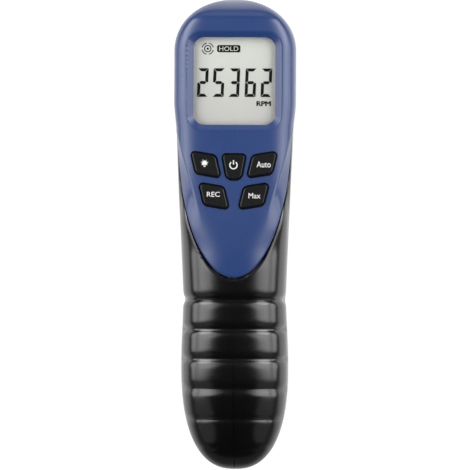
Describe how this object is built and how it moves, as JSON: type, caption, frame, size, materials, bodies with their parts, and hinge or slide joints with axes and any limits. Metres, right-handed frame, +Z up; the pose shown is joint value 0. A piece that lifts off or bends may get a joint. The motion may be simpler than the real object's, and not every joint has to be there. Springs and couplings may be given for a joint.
{
  "type": "laser tachometer",
  "caption": "Pistol-shaped hand tachometer with a raked ribbed grip, a blue head with a display and keys, a trigger and laser optics in the nose.",
  "frame": {"origin": "centre of the footprint on the surface it lies on", "axes": "+Y along the instrument from butt to crown, +Z up out of the display face, +X to the right of a reader of the display"},
  "size_m": [0.0516, 0.1998, 0.0609],
  "materials": {
    "blue_shell": "satin moulded plastic",
    "black_shell": "semi-gloss moulded plastic",
    "clear_pane": "clear polished",
    "display": "pale reflective display",
    "white_plastic": "moulded",
    "contact_rubber": "layered rubber",
    "board": "coated laminate",
    "steel": "plated",
    "dark_plastic": "moulded",
    "key_rubber": "smooth rubber",
    "red_pane": "tinted filter",
    "brass": "turned",
    "battery_can": "printed steel can, here plain"
  },
  "bodies": {
    "housing": {"rear_cover": "blue_shell", "left_half": "black_shell", "right_half": "black_shell", "display_window": "clear_pane", "lcd_cell": "display", "lcd_frame": "white_plastic", "backlight_panel": "white_plastic", "contact_strips": "contact_rubber", "main_board": "board", "board_screws": "steel", "switch_bases": "dark_plastic", "control_chip": "dark_plastic", "clock_crystal": "steel", "nose_bezel": "dark_plastic", "front_window": "red_pane", "optics_holder": "dark_plastic", "laser_module": "brass", "laser_lens": "clear_pane", "receiver_lens": "clear_pane", "photodiode": "dark_plastic", "sensor_board": "board", "trigger_spring": "steel", "trigger_switch": "dark_plastic", "trigger_board": "board", "battery": "battery_can", "battery_snap": "dark_plastic", "housing_screws": "steel"},
    "backlight_button": {"backlight_key": "key_rubber", "backlight_plunger": "white_plastic"},
    "power_button": {"power_key": "key_rubber", "power_plunger": "white_plastic"},
    "auto_button": {"auto_key": "key_rubber", "auto_plunger": "white_plastic"},
    "record_button": {"record_key": "key_rubber", "record_plunger": "white_plastic"},
    "max_button": {"max_key": "key_rubber", "max_plunger": "white_plastic"},
    "trigger": {"trigger": "dark_plastic"},
    "door": {"battery_door": "black_shell"}
  },
  "joints": [
    {"name": "backlight_press", "type": "slide", "parent": "housing", "child": "backlight_button", "axis": [0, 0, -1], "range_m": [0, 0.0005], "stiffness_N_per_m": 1000, "springref_m": -0.0005},
    {"name": "power_press", "type": "slide", "parent": "housing", "child": "power_button", "axis": [0, 0, -1], "range_m": [0, 0.0005], "stiffness_N_per_m": 1000, "springref_m": -0.0005},
    {"name": "auto_press", "type": "slide", "parent": "housing", "child": "auto_button", "axis": [0, 0, -1], "range_m": [0, 0.0005], "stiffness_N_per_m": 1000, "springref_m": -0.0005},
    {"name": "record_press", "type": "slide", "parent": "housing", "child": "record_button", "axis": [0, 0, -1], "range_m": [0, 0.0005], "stiffness_N_per_m": 1000, "springref_m": -0.0005},
    {"name": "max_press", "type": "slide", "parent": "housing", "child": "max_button", "axis": [0, 0, -1], "range_m": [0, 0.0005], "stiffness_N_per_m": 1000, "springref_m": -0.0005},
    {"name": "trigger_pull", "type": "slide", "parent": "housing", "child": "trigger", "axis": [0, 0, 1], "range_m": [0, 0.003], "stiffness_N_per_m": 400, "springref_m": -0.002, "deforming": ["trigger_spring"]},
    {"name": "door_swing", "type": "hinge", "parent": "housing", "child": "door", "pos_m": [0, -0.0665, 0.00843], "axis": [-1, 0, 0], "range_deg": [0, 60]}
  ]
}
